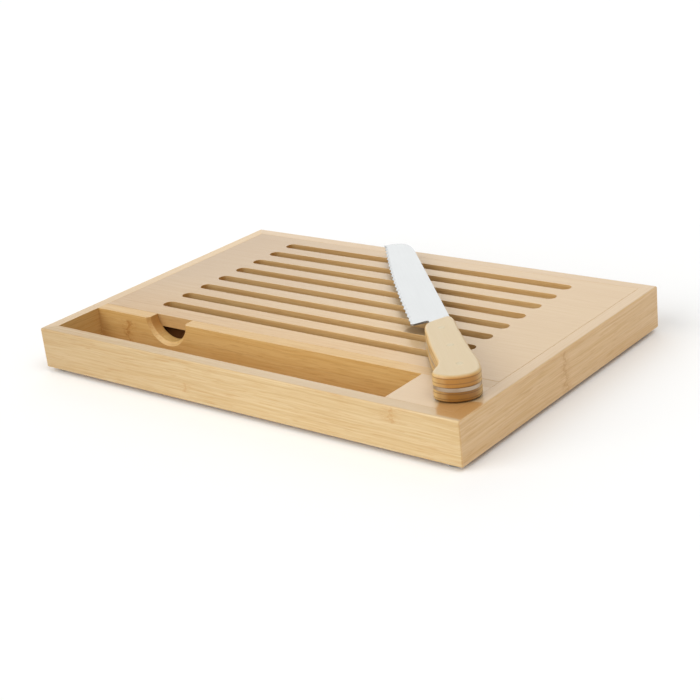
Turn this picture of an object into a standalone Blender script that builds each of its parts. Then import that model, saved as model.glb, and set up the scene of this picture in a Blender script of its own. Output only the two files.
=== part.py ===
"""Bamboo bread board with a lift-out slotted crumb grid, a knife compartment and a serrated knife.

Metres, +Z up. The origin is the middle of the board on the plane that its feet stand on.
+X runs along the board's length to the viewer's right, +Y runs to the back.
"""

import math

import bmesh
import bpy
from mathutils import Matrix

# Board
BOARD_LENGTH = 0.380
BOARD_DEPTH = 0.252
BODY_HEIGHT = 0.0315
WALL = 0.010
ARRIS_RADIUS = 0.0012
SEAT_GAP = 0.0003
OVERRUN = 0.002
MERGE_DISTANCE = 0.00001
ARRIS_STEPS = 3
SMOOTH_STEPS = 5
SHARP_DEGREES = 40.0

# Rubber feet
FOOT_HEIGHT = 0.0035
FOOT_RADIUS = 0.0075
FOOT_TAPER = 0.0009
FOOT_RIM = 0.0006
FOOT_INSET = 0.0112
FOOT_STEPS = 40
FOOT_RIM_STEPS = 2

# Bottom panel, set in a rebate that is flush with the underside
PANEL_THICKNESS = 0.006
REBATE_WIDTH = 0.005

# Knife compartment and the block that closes its right end
CHANNEL_LENGTH = 0.307
CHANNEL_WIDTH = 0.040
CHANNEL_MOUTH_CHAMFER = 0.0005

# Finger notch in the divider, for lifting the grid
NOTCH_FROM_LEFT = 0.0850
NOTCH_RADIUS = 0.0183
NOTCH_CHAMFER = 0.0025
NOTCH_CENTRE_RISE = 0.0012
NOTCH_STEPS = 28

# Slotted grid and the two ledges that carry it
GRID_THICKNESS = 0.0095
GRID_CLEARANCE = 0.0005
LEDGE_WIDTH = 0.008
SLOT_COUNT = 8
SLOT_WIDTH = 0.0095
SLOT_EDGE_ROUND = 0.0004
SLOT_END_STEPS = 10
SLOT_LEFT_MARGIN = 0.0432
SLOT_RIGHT_MARGIN = 0.0450
SLOT_FRONT_MARGIN = 0.0190
SLOT_BACK_MARGIN = 0.0166

# Knife, measured from the middle of its butt: along the handle, and across towards the cutting edge
KNIFE_LENGTH = 0.300
KNIFE_TURN_DEGREES = 135.0
KNIFE_BUTT_FROM_RIGHT = 0.0095
KNIFE_BUTT_FROM_FRONT = 0.0240
HANDLE_LENGTH = 0.1065
HANDLE_WIDTH = 0.0312
HANDLE_THICKNESS = 0.0184
HANDLE_EDGE_ROUND_SHARE = 0.025
HANDLE_EDGE_ROUND = HANDLE_EDGE_ROUND_SHARE * HANDLE_LENGTH
HANDLE_EDGE_STEPS = 3
BUTT_CROWN = 0.0016
BUTT_CROWN_REACH = 0.014
BLADE_THICKNESS = 0.0025
TANG_INSET = 0.0001
RIVET_COUNT = 3
RIVET_RADIUS = 0.0025
RIVET_FIT = 0.00025
RIVET_FROM_BUTT = 0.0205
RIVET_SPACING = 0.0322
RIVET_STEPS = 24

# Blade outline
HEEL_FROM_BUTT = 0.1225
SPINE_OFFSET = -0.0119
EDGE_AT_HEEL = 0.0158
EDGE_AT_TIP = 0.0085
EDGE_SWEEP_SHARE = 2.4
HEEL_RADIUS = 0.0040
CHOIL_RADIUS = 0.0050
NECK_EDGE = 0.0030
NECK_OVERLAP = 0.010
TIP_LENGTH = 0.035
TIP_ROUND_SHARE = 2.8
TIP_STEPS = 14
CORNER_STEPS = 6
SERRATION_PITCH = 0.008
SERRATION_DEPTH = 0.0010
SERRATION_STEPS = 6
GRIND_WIDTH = 0.0030
GRIND_RUN_OUT = 0.006

# Handle outline: share of its length from the butt, share of its width towards the cutting edge
HANDLE_OUTLINE_SHARES = (
    (0.991, -0.212),
    (0.983, -0.301),
    (0.956, -0.340),
    (0.751, -0.346),
    (0.423, -0.369),
    (0.131, -0.388),
    (0.061, -0.327),
    (0.014, -0.160),
    (0.000, 0.064),
    (0.009, 0.272),
    (0.042, 0.465),
    (0.108, 0.606),
    (0.169, 0.545),
    (0.239, 0.423),
    (0.357, 0.401),
    (0.516, 0.404),
    (0.704, 0.372),
    (0.864, 0.324),
    (0.911, 0.256),
    (0.944, 0.128),
    (0.978, -0.112),
)

# Places that follow from the sizes above
UNDERSIDE = FOOT_HEIGHT
TOP = FOOT_HEIGHT + BODY_HEIGHT
LEFT_INSIDE = -BOARD_LENGTH / 2 + WALL
RIGHT_INSIDE = BOARD_LENGTH / 2 - WALL
FRONT_INSIDE = -BOARD_DEPTH / 2 + WALL
BACK_INSIDE = BOARD_DEPTH / 2 - WALL
FLOOR = UNDERSIDE + PANEL_THICKNESS
CHANNEL_RIGHT = LEFT_INSIDE + CHANNEL_LENGTH
CHANNEL_BACK = FRONT_INSIDE + CHANNEL_WIDTH
DIVIDER_BACK = CHANNEL_BACK + WALL
GRID_UNDERSIDE = TOP - GRID_THICKNESS
GRID_LEFT = LEFT_INSIDE + GRID_CLEARANCE
GRID_RIGHT = RIGHT_INSIDE - GRID_CLEARANCE
GRID_FRONT = DIVIDER_BACK + GRID_CLEARANCE
GRID_BACK = BACK_INSIDE - GRID_CLEARANCE
BLADE_PLANE = TOP + SEAT_GAP + HANDLE_THICKNESS / 2


def clear_scene():
    """Take out every object and collection that is already there."""
    for old in list(bpy.data.objects):
        bpy.data.objects.remove(old, do_unlink=True)
    for old in list(bpy.data.collections):
        bpy.data.collections.remove(old)


def new_collection(name):
    """Make a collection under the scene's own."""
    collection = bpy.data.collections.new(name)
    bpy.context.scene.collection.children.link(collection)
    return collection


def new_material(name, colour, roughness, metallic=0.0):
    """Make a Principled material; the colour is linear red, green and blue."""
    material = bpy.data.materials.new(name)
    material.use_nodes = True
    shader = material.node_tree.nodes["Principled BSDF"]
    shader.inputs["Base Color"].default_value = (*colour, 1.0)
    shader.inputs["Roughness"].default_value = roughness
    shader.inputs["Metallic"].default_value = metallic
    return material


def move_to(obj, collection):
    """Keep an object in one collection only."""
    for other in list(obj.users_collection):
        other.objects.unlink(obj)
    collection.objects.link(obj)


def finish_part(obj, name, material):
    """Name a piece, give it its material and put it among the parts."""
    obj.name = name
    obj.data.name = name
    obj.data.materials.clear()
    obj.data.materials.append(material)
    move_to(obj, PARTS)
    return obj


def finish_cutter(obj, name):
    """Keep a cutter out of the model, shown as wires."""
    obj.name = name
    obj.display_type = "WIRE"
    obj.hide_render = True
    move_to(obj, CUTTERS)
    return obj


def box(low, high):
    """A cube primitive between two corners, with its size in its mesh."""
    bpy.ops.mesh.primitive_cube_add(size=1)
    obj = bpy.context.object
    size = [b - a for a, b in zip(low, high)]
    middle = [(a + b) / 2 for a, b in zip(low, high)]
    obj.data.transform(Matrix.Diagonal((*size, 1)))
    obj.location = middle
    return obj


def mesh_object(name, bm):
    """Turn a bmesh into an object."""
    mesh = bpy.data.meshes.new(name)
    bm.to_mesh(mesh)
    bm.free()
    obj = bpy.data.objects.new(name, mesh)
    bpy.context.scene.collection.objects.link(obj)
    return obj


def round_bar(name, bottom_radius, top_radius, length, segments):
    """A capped cylinder or cone about its own Z, with its middle at the origin."""
    bm = bmesh.new()
    bmesh.ops.create_cone(bm, cap_ends=True, segments=segments,
                          radius1=bottom_radius, radius2=top_radius, depth=length)
    return mesh_object(name, bm)


def flat_curve(name, loops, smooth=False):
    """A filled 2D curve of closed outlines, straight or drawn smoothly through their points."""
    curve = bpy.data.curves.new(name, "CURVE")
    curve.dimensions = "2D"
    curve.fill_mode = "BOTH"
    curve.resolution_u = SMOOTH_STEPS
    for loop in loops:
        spline = curve.splines.new("BEZIER" if smooth else "POLY")
        spline.use_cyclic_u = True
        points = spline.bezier_points if smooth else spline.points
        points.add(len(loop) - 1)
        for point, (x, y) in zip(points, loop):
            if smooth:
                point.co = (x, y, 0)
                point.handle_left_type = "AUTO"
                point.handle_right_type = "AUTO"
            else:
                point.co = (x, y, 0, 1)
    return curve


def curve_solid(name, curve, thickness, edge_round=0.0, edge_steps=1):
    """Give a flat curve its thickness and rounded edges, and return it as a welded mesh object."""
    curve.extrude = thickness / 2 - edge_round
    curve.bevel_depth = edge_round
    curve.bevel_resolution = edge_steps
    curve.offset -= edge_round
    drawn = bpy.data.objects.new(name + "_outline", curve)
    bpy.context.scene.collection.objects.link(drawn)
    graph = bpy.context.evaluated_depsgraph_get()
    mesh = bpy.data.meshes.new_from_object(drawn.evaluated_get(graph))
    bm = bmesh.new()
    bm.from_mesh(mesh)
    bmesh.ops.remove_doubles(bm, verts=bm.verts, dist=MERGE_DISTANCE)
    bmesh.ops.recalc_face_normals(bm, faces=bm.faces)
    obj = mesh_object(name, bm)
    obj.matrix_world = drawn.matrix_world
    bpy.data.objects.remove(drawn, do_unlink=True)
    bpy.data.meshes.remove(mesh)
    return obj


def boolean(obj, cutter, operation="DIFFERENCE"):
    """Cut, join or intersect a piece with another object."""
    modifier = obj.modifiers.new(cutter.name, "BOOLEAN")
    modifier.operation = operation
    modifier.solver = "EXACT"
    modifier.object = cutter


def arc(centre, radius, start, end, steps):
    """Points along an arc, its angles in degrees."""
    points = []
    for i in range(steps + 1):
        angle = math.radians(start + (end - start) * i / steps)
        points.append((centre[0] + radius * math.cos(angle), centre[1] + radius * math.sin(angle)))
    return points


def slot_outline(left, right, middle, width):
    """A long slot with full round ends."""
    radius = width / 2
    right_end = arc((right - radius, middle), radius, -90, 90, SLOT_END_STEPS)
    left_end = arc((left + radius, middle), radius, 90, 270, SLOT_END_STEPS)
    return right_end + left_end


def smooth_sides(obj):
    """Shade round faces smooth and keep the edges that are sharper than an angle."""
    obj.data.shade_smooth()
    obj.data.set_sharp_from_angle(angle=math.radians(SHARP_DEGREES))


def board_blank():
    """The board's whole outer block with its softened arrises; the rails are cut out of it."""
    low = (-BOARD_LENGTH / 2, -BOARD_DEPTH / 2, UNDERSIDE)
    high = (BOARD_LENGTH / 2, BOARD_DEPTH / 2, TOP)
    blank = box(low, high)
    bevel = blank.modifiers.new("arris", "BEVEL")
    bevel.width = ARRIS_RADIUS
    bevel.segments = ARRIS_STEPS
    return finish_cutter(blank, "board_blank")


def panel_rebate():
    """The room that the bottom panel takes out of the rails' lower inner edges."""
    reach = REBATE_WIDTH
    low = (LEFT_INSIDE - reach, FRONT_INSIDE - reach, UNDERSIDE - OVERRUN)
    high = (RIGHT_INSIDE + reach, BACK_INSIDE + reach, FLOOR + SEAT_GAP)
    return finish_cutter(box(low, high), "panel_rebate")


def channel_mouth():
    """A flared block that takes the chamfer off the knife compartment's mouth."""
    chamfer = CHANNEL_MOUTH_CHAMFER
    low = (LEFT_INSIDE, FRONT_INSIDE, TOP - chamfer)
    high = (CHANNEL_RIGHT, CHANNEL_BACK, TOP + chamfer)
    mouth = box(low, high)
    spread = high[2] - low[2]
    grow_x = (CHANNEL_LENGTH + 2 * spread) / CHANNEL_LENGTH
    grow_y = (CHANNEL_WIDTH + 2 * spread) / CHANNEL_WIDTH
    for vertex in mouth.data.vertices:
        if vertex.co.z > 0:
            vertex.co.x *= grow_x
            vertex.co.y *= grow_y
    return finish_cutter(mouth, "channel_mouth")


def mitred_rail(name, length, depth, turn, cutters, material):
    """One side of the frame, mitred at both ends; depth is how far its outer face is from the middle."""
    mitre_gap = SEAT_GAP / math.sqrt(2)
    outer = length / 2 - mitre_gap + OVERRUN
    inner = length / 2 - mitre_gap - WALL
    outline = [(-outer, -depth - OVERRUN), (outer, -depth - OVERRUN),
               (inner, -depth + WALL), (-inner, -depth + WALL)]
    rail = curve_solid(name, flat_curve(name, [outline]), BODY_HEIGHT + 2 * OVERRUN)
    rail.data.transform(Matrix.Rotation(turn, 4, "Z"))
    rail.location = (0, 0, (UNDERSIDE + TOP) / 2)
    boolean(rail, cutters[0], "INTERSECT")
    for cutter in cutters[1:]:
        boolean(rail, cutter)
    return finish_part(rail, name, material)


def make_frame(material):
    """The four rails, the bottom panel in their rebate and the block at the compartment's right end."""
    blank = board_blank()
    rebate = panel_rebate()
    mouth = channel_mouth()
    half_depth = BOARD_DEPTH / 2
    half_length = BOARD_LENGTH / 2
    quarter = math.pi / 2
    mitred_rail("front_rail", BOARD_LENGTH, half_depth, 0, (blank, rebate, mouth), material)
    mitred_rail("right_rail", BOARD_DEPTH, half_length, quarter, (blank, rebate), material)
    mitred_rail("back_rail", BOARD_LENGTH, half_depth, 2 * quarter, (blank, rebate), material)
    mitred_rail("left_rail", BOARD_DEPTH, half_length, 3 * quarter, (blank, rebate, mouth), material)

    reach = REBATE_WIDTH - SEAT_GAP
    panel = box((LEFT_INSIDE - reach, FRONT_INSIDE - reach, UNDERSIDE),
                (RIGHT_INSIDE + reach, BACK_INSIDE + reach, FLOOR))
    finish_part(panel, "bottom_panel", material)

    block = box((CHANNEL_RIGHT, FRONT_INSIDE + SEAT_GAP, FLOOR + SEAT_GAP),
                (RIGHT_INSIDE - SEAT_GAP, CHANNEL_BACK - SEAT_GAP, TOP))
    boolean(block, mouth)
    finish_part(block, "corner_block", material)
    return mouth


def make_divider(mouth, material):
    """The wall behind the knife compartment, with a half-round finger notch in its top edge."""
    left = LEFT_INSIDE + SEAT_GAP
    right = RIGHT_INSIDE - SEAT_GAP
    bottom = FLOOR + SEAT_GAP
    notch_x = -BOARD_LENGTH / 2 + NOTCH_FROM_LEFT
    notch_z = TOP + NOTCH_CENTRE_RISE
    dip = math.degrees(math.asin(NOTCH_CENTRE_RISE / NOTCH_RADIUS))
    notch = arc((notch_x, notch_z), NOTCH_RADIUS, -dip, dip - 180, NOTCH_STEPS)
    outline = [(left, bottom), (right, bottom), (right, TOP)] + notch + [(left, TOP)]
    divider = curve_solid("divider_rail", flat_curve("divider_rail", [outline]), WALL)
    divider.data.transform(Matrix.Rotation(math.pi / 2, 4, "X"))
    divider.location = (0, (CHANNEL_BACK + DIVIDER_BACK) / 2, 0)

    spread = 2 * NOTCH_CHAMFER
    slope = round_bar("notch_chamfer", NOTCH_RADIUS, NOTCH_RADIUS + spread, spread, 2 * NOTCH_STEPS)
    slope.data.transform(Matrix.Rotation(math.pi / 2, 4, "X"))
    slope.location = (notch_x, CHANNEL_BACK, notch_z)
    boolean(divider, finish_cutter(slope, "notch_chamfer"))
    boolean(divider, mouth)
    return finish_part(divider, "divider_rail", material)


def make_grid(material):
    """The lift-out plate with its row of long slots, and the ledge under each end."""
    left = GRID_LEFT + SLOT_LEFT_MARGIN
    right = GRID_RIGHT - SLOT_RIGHT_MARGIN
    first = GRID_FRONT + SLOT_FRONT_MARGIN
    last = GRID_BACK - SLOT_BACK_MARGIN
    pitch = (last - first) / (SLOT_COUNT - 1)
    loops = [[(GRID_LEFT, GRID_FRONT), (GRID_RIGHT, GRID_FRONT),
              (GRID_RIGHT, GRID_BACK), (GRID_LEFT, GRID_BACK)]]
    for i in range(SLOT_COUNT):
        loops.append(slot_outline(left, right, first + i * pitch, SLOT_WIDTH))
    grid = curve_solid("slotted_grid", flat_curve("slotted_grid", loops), GRID_THICKNESS, SLOT_EDGE_ROUND)
    grid.location = (0, 0, (GRID_UNDERSIDE + TOP) / 2)
    smooth_sides(grid)
    finish_part(grid, "slotted_grid", material)

    ledge_top = GRID_UNDERSIDE - SEAT_GAP
    front = DIVIDER_BACK + SEAT_GAP
    back = BACK_INSIDE - SEAT_GAP
    left_low = (LEFT_INSIDE + SEAT_GAP, front, FLOOR + SEAT_GAP)
    left_high = (LEFT_INSIDE + SEAT_GAP + LEDGE_WIDTH, back, ledge_top)
    right_low = (RIGHT_INSIDE - SEAT_GAP - LEDGE_WIDTH, front, FLOOR + SEAT_GAP)
    right_high = (RIGHT_INSIDE - SEAT_GAP, back, ledge_top)
    finish_part(box(left_low, left_high), "left_ledge", material)
    finish_part(box(right_low, right_high), "right_ledge", material)


def make_feet(material):
    """Four small round rubber feet, one under each corner."""
    height = FOOT_HEIGHT - SEAT_GAP
    out_x = BOARD_LENGTH / 2 - FOOT_INSET
    out_y = BOARD_DEPTH / 2 - FOOT_INSET
    places = {"foot_front_left": (-out_x, -out_y), "foot_front_right": (out_x, -out_y),
              "foot_back_left": (-out_x, out_y), "foot_back_right": (out_x, out_y)}
    for name, (x, y) in places.items():
        foot = round_bar(name, FOOT_RADIUS - FOOT_TAPER, FOOT_RADIUS, height, FOOT_STEPS)
        foot.location = (x, y, height / 2)
        rim = foot.modifiers.new("rim", "BEVEL")
        rim.width = FOOT_RIM
        rim.segments = FOOT_RIM_STEPS
        smooth_sides(foot)
        finish_part(foot, name, material)


def edge_line(share):
    """How far the cutting edge lies from the handle's middle line, at a share of its length."""
    return EDGE_AT_HEEL + (EDGE_AT_TIP - EDGE_AT_HEEL) * share ** EDGE_SWEEP_SHARE


def blade_outlines():
    """The blade's lower outline, with its serrations, and its upper one, drawn in by the grind."""
    neck = HANDLE_LENGTH - NECK_OVERLAP
    choil = (HEEL_FROM_BUTT - CHOIL_RADIUS, NECK_EDGE + CHOIL_RADIUS)
    heel = (HEEL_FROM_BUTT + HEEL_RADIUS, EDGE_AT_HEEL - HEEL_RADIUS)
    plain_start = [(neck, NECK_EDGE)]
    plain_start += arc(choil, CHOIL_RADIUS, -90, 0, CORNER_STEPS)
    plain_start += arc(heel, HEEL_RADIUS, 180, 90, CORNER_STEPS)

    start = HEEL_FROM_BUTT + HEEL_RADIUS
    edge_length = KNIFE_LENGTH - start
    teeth = round(edge_length / SERRATION_PITCH)
    lower = list(plain_start)
    upper = list(plain_start)
    steps = teeth * SERRATION_STEPS
    for i in range(1, steps):
        share = i / steps
        scallop = math.sin(math.pi * (i % SERRATION_STEPS) / SERRATION_STEPS)
        run = min(share, 1 - share) * edge_length
        fade = min(1.0, run / GRIND_RUN_OUT)
        x = start + share * edge_length
        lower.append((x, edge_line(share) - SERRATION_DEPTH * scallop * fade))
        upper.append((x, edge_line(share) - (GRIND_WIDTH + SERRATION_DEPTH * scallop) * fade))

    height = EDGE_AT_TIP - SPINE_OFFSET
    plain_end = []
    for i in range(TIP_STEPS + 1):
        angle = math.pi / 2 * i / TIP_STEPS
        along = math.cos(angle) ** (2 / TIP_ROUND_SHARE)
        across = math.sin(angle) ** (2 / TIP_ROUND_SHARE)
        plain_end.append((KNIFE_LENGTH - TIP_LENGTH + TIP_LENGTH * along, EDGE_AT_TIP - height * across))
    plain_end.append((neck, SPINE_OFFSET))
    return lower + plain_end, upper + plain_end


def lofted_plate(name, lower, upper, thickness):
    """A plate between two outlines of as many points, the lower and the upper face."""
    bm = bmesh.new()
    bottom = [bm.verts.new((x, y, -thickness / 2)) for x, y in lower]
    top = [bm.verts.new((x, y, thickness / 2)) for x, y in upper]
    bm.faces.new(bottom)
    bm.faces.new(top)
    count = len(bottom)
    for i in range(count):
        j = (i + 1) % count
        bm.faces.new((bottom[i], bottom[j], top[j], top[i]))
    bmesh.ops.recalc_face_normals(bm, faces=bm.faces)
    return mesh_object(name, bm)


def handle_outline():
    """The handle's outline, wide at the butt, with a hooked belly and a slanted front."""
    return [(along * HANDLE_LENGTH, across * HANDLE_WIDTH) for along, across in HANDLE_OUTLINE_SHARES]


def crown_butt(scale):
    """Bulge the handle's butt end: its upper and lower edges lie further in than its middle."""
    half = HANDLE_THICKNESS / 2
    for vertex in scale.data.vertices:
        near = max(0.0, 1 - vertex.co.x / BUTT_CROWN_REACH)
        vertex.co.x += BUTT_CROWN * near * (vertex.co.z / half) ** 2


def make_knife(steel, rivet_steel, scale_material):
    """The knife: a blade with a full tang between two riveted scales, lying flat on the board."""
    knife = bpy.data.objects.new("knife", None)
    butt_x = BOARD_LENGTH / 2 - KNIFE_BUTT_FROM_RIGHT
    butt_y = -BOARD_DEPTH / 2 + KNIFE_BUTT_FROM_FRONT
    knife.location = (butt_x, butt_y, BLADE_PLANE)
    knife.rotation_euler = (0, 0, math.radians(KNIFE_TURN_DEGREES))
    PARTS.objects.link(knife)

    holes = []
    for i in range(RIVET_COUNT):
        along = RIVET_FROM_BUTT + i * RIVET_SPACING
        hole = round_bar("rivet_hole", RIVET_RADIUS + RIVET_FIT, RIVET_RADIUS + RIVET_FIT,
                         HANDLE_THICKNESS + 2 * OVERRUN, RIVET_STEPS)
        hole.location = (along, 0, 0)
        hole.parent = knife
        holes.append(finish_cutter(hole, "rivet_hole_%d" % (i + 1)))
        rivet = round_bar("rivet", RIVET_RADIUS, RIVET_RADIUS, HANDLE_THICKNESS, RIVET_STEPS)
        rivet.location = (along, 0, 0)
        rivet.parent = knife
        smooth_sides(rivet)
        finish_part(rivet, "knife_rivet_%d" % (i + 1), rivet_steel)

    lower, upper = blade_outlines()
    blade = lofted_plate("knife_blade", lower, upper, BLADE_THICKNESS)
    blade.parent = knife
    tang_curve = flat_curve("tang", [handle_outline()], smooth=True)
    tang_curve.offset = -TANG_INSET
    tang = curve_solid("tang", tang_curve, BLADE_THICKNESS)
    tang.parent = knife
    boolean(blade, finish_cutter(tang, "tang"), "UNION")
    for hole in holes:
        boolean(blade, hole)
    finish_part(blade, "knife_blade", steel)

    seat = BLADE_THICKNESS / 2 + SEAT_GAP
    reach = HANDLE_LENGTH + OVERRUN
    side = HANDLE_WIDTH
    layers = {"knife_upper_scale": (seat, HANDLE_THICKNESS),
              "knife_lower_scale": (-HANDLE_THICKNESS, -seat)}
    for name, (low, high) in layers.items():
        curve = flat_curve(name, [handle_outline()], smooth=True)
        scale = curve_solid(name, curve, HANDLE_THICKNESS, HANDLE_EDGE_ROUND, HANDLE_EDGE_STEPS)
        crown_butt(scale)
        scale.parent = knife
        half = box((-OVERRUN, -side, low), (reach, side, high))
        half.parent = knife
        boolean(scale, finish_cutter(half, name + "_half"), "INTERSECT")
        for hole in holes:
            boolean(scale, hole)
        smooth_sides(scale)
        finish_part(scale, name, scale_material)


clear_scene()
PARTS = new_collection("bread_board")
CUTTERS = new_collection("cutters")

BAMBOO = new_material("bamboo", (0.74, 0.55, 0.34), 0.5)
HANDLE_BAMBOO = new_material("bamboo_handle", (0.70, 0.50, 0.28), 0.45)
BLADE_STEEL = new_material("stainless_steel", (0.80, 0.81, 0.82), 0.25, 1.0)
RIVET_STEEL = new_material("rivet_steel", (0.62, 0.60, 0.56), 0.35, 1.0)
RUBBER = new_material("grey_rubber", (0.30, 0.29, 0.28), 0.8)

MOUTH = make_frame(BAMBOO)
make_divider(MOUTH, BAMBOO)
make_grid(BAMBOO)
make_feet(RUBBER)
make_knife(BLADE_STEEL, RIVET_STEEL, HANDLE_BAMBOO)
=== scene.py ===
"""Bamboo bread board with a lift-out slotted grid and a serrated knife: its looks, built round the packed frame.

Metres, +Z up, in the frame of the packed model. Each finished piece sits at the origin, its place in its mesh.
"""

import math

import bmesh
import bpy
from bpy.props import FloatProperty, FloatVectorProperty, IntProperty, PointerProperty
from bpy.types import NodeSocket, Operator, Panel, PropertyGroup
from mathutils import Matrix, Vector


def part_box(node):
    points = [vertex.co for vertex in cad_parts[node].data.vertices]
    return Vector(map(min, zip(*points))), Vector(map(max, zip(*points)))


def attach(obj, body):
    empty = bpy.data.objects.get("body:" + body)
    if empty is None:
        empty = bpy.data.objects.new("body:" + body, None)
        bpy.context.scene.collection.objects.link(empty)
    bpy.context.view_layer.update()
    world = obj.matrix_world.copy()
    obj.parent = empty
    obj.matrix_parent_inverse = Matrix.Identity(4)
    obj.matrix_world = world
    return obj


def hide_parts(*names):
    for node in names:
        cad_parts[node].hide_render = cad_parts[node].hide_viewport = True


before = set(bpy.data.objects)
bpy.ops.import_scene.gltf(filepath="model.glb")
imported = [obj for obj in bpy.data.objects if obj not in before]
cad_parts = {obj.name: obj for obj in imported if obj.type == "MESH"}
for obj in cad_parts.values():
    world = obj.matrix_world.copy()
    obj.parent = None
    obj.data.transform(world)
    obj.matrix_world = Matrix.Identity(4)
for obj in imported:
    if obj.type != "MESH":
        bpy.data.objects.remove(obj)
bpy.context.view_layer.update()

bl_info = {
    "name": "Bread board with knife",
    "version": (1, 0, 0),
    "blender": (4, 5, 0),
    "location": "3D View > Sidebar > Bread board",
    "description": "Makes a bamboo bread board with its crumb grid, and the knife that lies on it",
    "category": "Add Mesh",
}

# Places that the packed model gives
LEFT, WALL_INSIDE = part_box("left_rail")[0].x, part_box("left_rail")[1].x
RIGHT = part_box("right_rail")[1].x
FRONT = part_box("front_rail")[0].y
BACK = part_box("back_rail")[1].y
UNDERSIDE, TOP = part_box("front_rail")[0].z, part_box("front_rail")[1].z
WALL = WALL_INSIDE - LEFT
PANEL_LOW, PANEL_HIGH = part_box("bottom_panel")
GRID_LOW, GRID_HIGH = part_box("slotted_grid")
DIVIDER_LOW, BLOCK_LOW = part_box("divider_rail")[0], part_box("corner_block")[0]
FEET = ("foot_front_left", "foot_front_right", "foot_back_left", "foot_back_right")
FOOT_LOW, FOOT_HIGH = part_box("foot_front_left")
BLADE_LOW, BLADE_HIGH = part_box("knife_blade")
SCALE_LOW, SCALE_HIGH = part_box("knife_lower_scale")[0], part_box("knife_upper_scale")[1]
BLADE_PLANE = (BLADE_LOW.z + BLADE_HIGH.z) / 2
BLADE_THICKNESS = BLADE_HIGH.z - BLADE_LOW.z
HANDLE_THICKNESS = SCALE_HIGH.z - SCALE_LOW.z

# Handle outline: share of its length from the butt, share of its width towards the cutting edge
HANDLE_OUTLINE_SHARES = (
    (0.991, -0.212),
    (0.983, -0.301),
    (0.956, -0.340),
    (0.751, -0.346),
    (0.423, -0.369),
    (0.131, -0.388),
    (0.061, -0.327),
    (0.014, -0.160),
    (0.000, 0.064),
    (0.009, 0.272),
    (0.042, 0.465),
    (0.108, 0.606),
    (0.169, 0.545),
    (0.239, 0.423),
    (0.357, 0.401),
    (0.516, 0.404),
    (0.704, 0.372),
    (0.864, 0.324),
    (0.911, 0.256),
    (0.944, 0.128),
    (0.978, -0.112),
)

# Steps in which rounds are drawn, and how near points are merged
ARRIS_STEPS, EASE_STEPS, CORNER_STEPS = 5, 2, 4
NOTCH_STEPS, SLOT_END_STEPS = 48, 14
FOOT_STEPS, FOOT_RIM_STEPS, FOOT_TOP_STEPS, RIVET_STEPS = 48, 4, 3, 32
TOOTH_STEPS, HEEL_STEPS, TIP_STEPS = 12, 8, 28
MERGE_DISTANCE = 0.00001

# A slot's end is rounded by just under half its width, which keeps its two sides apart
ROUND_END_SHARE = 0.4999

# The foot: its dished middle as shares of its radius and of the dish's depth, where it turns up, where it tapers
FOOT_DISH_SHARES = ((0.40, 1.0), (0.46, 0.5), (0.52, 0.0))
FOOT_CONTACT_SHARE, FOOT_SIDE_SHARE = 0.90, 0.8
FOOT_DISH, FOOT_RIM = 0.0006, 0.0006

# The blade, from the butt and from the handle's middle line towards the cutting edge
HEEL_FROM_BUTT, NECK_EDGE, SPINE = 0.1225, 0.0030, -0.0119
EDGE_AT_HEEL, EDGE_AT_TIP, EDGE_SWEEP = 0.0158, 0.0085, 2.4
NECK_OVERLAP = 0.010
NECK_ROUND = ((-0.0010, 0.0), (-0.0002, 0.0004), (0.0, 0.0015))
HEEL_RADIUS, HEEL_BACK = 0.0021, 0.0004
GRIND_WIDTH, GRIND_RUN_OUT, GRIND_BITE_SHARE = 0.0018, 0.006, 0.6
TIP_LENGTH, TIP_ROUND = 0.035, 3.6
EDGE_LEFT, EDGE_THIN_SHARE = 0.0004, 0.45
TANG_INSET = 0.0001
BLADE_SHARP_DEGREES = 25.0

# The handle's scales: their gap to the tang, how far they lie below the rivets, and the butt's bulge
SCALE_GAP, SCALE_SUNK = 0.00005, 0.00004
BUTT_CROWN, BUTT_CROWN_REACH = 0.0016, 0.014
HANDLE_STRIP, HANDLE_LAYER = 0.0120, 0.0034
LINE_BELOW_TANG = 0.0071
# Painted shade near the board: the lower scale's end grain darker than the upper's, and its wood darker up to this
# far over the board's top
LOWER_END_SHARE = 0.72
CONTACT_SHADE_OVER_TOP = 0.0012
RIVET_EASE = 0.0002

# Sizes of the wood's patterns along, across and through, coarse enough to show in a small picture
WAVE_SIZE, WAVE_SHIFT = (0.060, 0.014, 0.014), (3, 1, 2)
BUNDLE_SIZE, BUNDLE_RANGE = (0.070, 0.0013, 0.0013), (0.32, 0.72)
FIBRE_SIZE, FIBRE_RANGE = (0.020, 0.00035, 0.00035), (0.3, 0.7)
DASH_SIZE, DASH_RANGE, DASH_STRENGTH = (0.014, 0.0009, 0.0009), (0.60, 0.68), 0.30
LOT_SHIFT, SMALL_TONE_SHARE = 40.0, 0.3
GLUE_LINE = 0.0005

# Rings: how far they wander, their speckles, and their core, band and ends
RING_WANDER_SIZE, RING_WANDER = (0.012, 0.0060, 0.0060), 0.0110
RING_SPECKLE_SIZE, RING_SPECKLE_RANGE = (0.0030, 0.0012, 0.0012), (0.42, 0.60, 0.15, 1.0)
RING_CORE_SOFT, RING_BAND_HALF, RING_BAND_SOFT, RING_END_SOFT = 0.0014, 0.0010, 0.0070, 0.0012
RING_BAND_STRENGTH = 0.7

# Painted shade and sheen, and end grain: shares of the end grain's colour, what counts as a top face or as end
# grain, and the edges of the painted shadows
DEEP_SHARE, CONTACT_SHADE_SHARE, TOP_SHADE_STRENGTH = 0.45, 0.15, 0.13
TOP_NORMAL_RANGE, END_FACING_RANGE, END_STRENGTH = (0.7, 0.98), (0.45, 0.90), 0.95
# Painted shade: over this run along X, the wood darkens towards the board's left end
LEFT_SHADE_RUN = (-0.19, 0.03)
SHADOW_WANDER, SHADOW_SOFT, CONTACT_SHADE_SOFT = 0.006, 0.0020, 0.0010
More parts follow.
